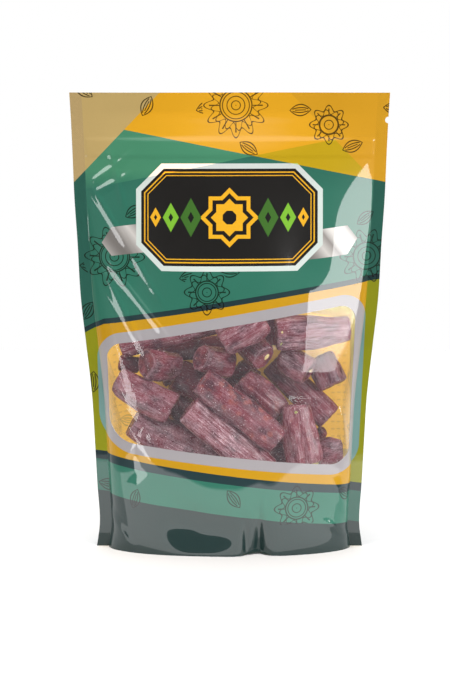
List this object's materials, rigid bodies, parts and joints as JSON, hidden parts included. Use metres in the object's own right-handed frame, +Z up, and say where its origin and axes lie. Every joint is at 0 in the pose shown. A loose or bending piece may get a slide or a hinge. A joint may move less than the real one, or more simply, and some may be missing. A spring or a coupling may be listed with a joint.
{
  "type": "stand-up pouch of pistachio turkish delight rolls",
  "caption": "Printed stand-up film pouch with flat side and top seals and a clear window on a pile of sugar-dusted mulberry delight rolls with pistachio.",
  "frame": {"origin": "middle of the underside, on the surface that the pouch stands on", "axes": "+Z up the pouch to its top seal, -Y out of the front with the window, +X to the viewer's right"},
  "size_m": [0.2, 0.07, 0.288],
  "materials": {
    "printed_film": "gloss printed laminate film, green with yellow fields",
    "clear_film": "clear gloss film",
    "mulberry_roll": "soft fruit jelly skin with a dry sugar and starch dust"
  },
  "bodies": {
    "root": {"pouch": "printed_film", "window_pane": "clear_film", "roll_01": "mulberry_roll", "roll_02": "mulberry_roll", "roll_03": "mulberry_roll", "roll_04": "mulberry_roll", "roll_05": "mulberry_roll", "roll_06": "mulberry_roll", "roll_07": "mulberry_roll", "roll_08": "mulberry_roll", "roll_09": "mulberry_roll", "roll_10": "mulberry_roll", "roll_11": "mulberry_roll", "roll_12": "mulberry_roll", "roll_13": "mulberry_roll", "roll_14": "mulberry_roll", "roll_15": "mulberry_roll", "roll_16": "mulberry_roll", "roll_17": "mulberry_roll", "roll_18": "mulberry_roll", "roll_19": "mulberry_roll", "roll_20": "mulberry_roll", "roll_21": "mulberry_roll", "roll_22": "mulberry_roll", "roll_23": "mulberry_roll", "roll_24": "mulberry_roll", "roll_25": "mulberry_roll", "roll_26": "mulberry_roll", "roll_27": "mulberry_roll"}
  },
  "joints": []
}
